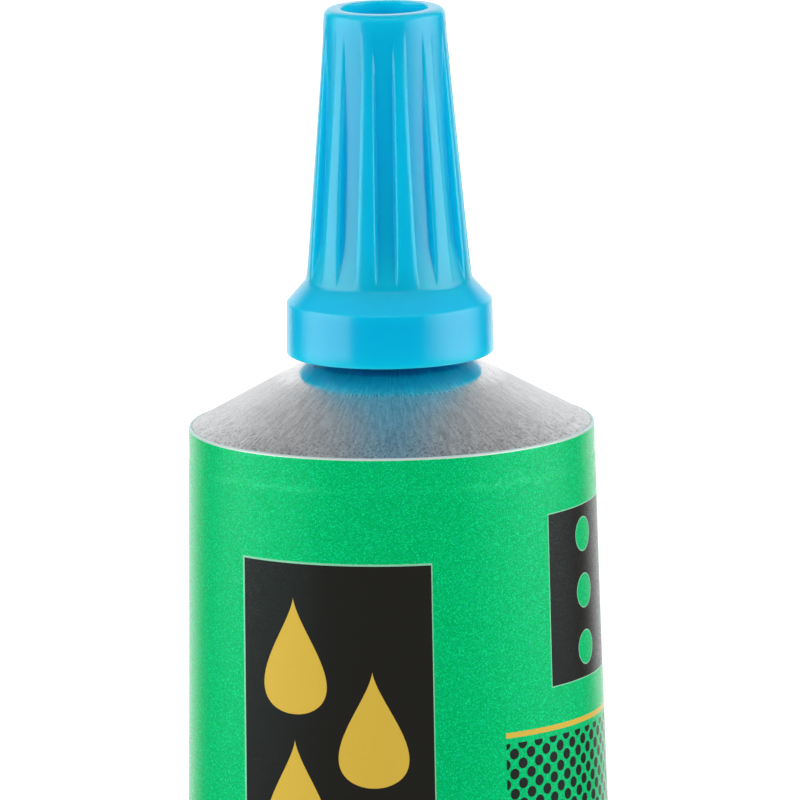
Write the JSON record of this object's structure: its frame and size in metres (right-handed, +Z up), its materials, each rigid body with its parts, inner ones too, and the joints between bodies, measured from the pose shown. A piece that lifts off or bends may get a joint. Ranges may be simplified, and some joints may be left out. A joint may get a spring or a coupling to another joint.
{
  "type": "glue gel tube",
  "caption": "Collapsible aluminium tube of glue gel with a folded tail, a conical shoulder, a threaded nozzle and a tall fluted screw cap.",
  "frame": {"origin": "middle of the lower edge of the tail fold, at the bottom of the tube", "axes": "+Z up the tube's axis to the cap, +X along the width of the flat tail, +Y to the back, where the tail is turned over"},
  "size_m": [0.0346, 0.022, 0.1278],
  "materials": {
    "green_lacquer": "glossy green lacquer on thin aluminium, with a fine grain",
    "latex": "matt cream latex",
    "bare_aluminium": "bare drawn aluminium with fine radial streaks",
    "gel": "clear pale yellow gel",
    "cap_plastic": "glossy moulded cyan blue plastic",
    "wad_foam": "white foamed polyethylene"
  },
  "bodies": {
    "tube": {"tube_wall": "green_lacquer", "tail_fold": "green_lacquer", "tail_sealant": "latex", "shoulder": "bare_aluminium", "nozzle_membrane": "bare_aluminium", "glue_gel": "gel"},
    "wad": {"cap_wad": "wad_foam"},
    "cap": {"cap": "cap_plastic"}
  },
  "joints": [
    {"name": "cap_lift", "type": "slide", "parent": "tube", "child": "wad", "axis": [0, 0, 1], "range_m": [0, 0.00375]},
    {"name": "cap_turn", "type": "hinge", "parent": "wad", "child": "cap", "pos_m": [0, 0, 0.115], "axis": [0, 0, 1], "range_deg": [0, 900]}
  ],
  "couplings": [
    {"joint": "cap_turn", "follows": "cap_lift", "rad_per_m": 4188.8}
  ]
}
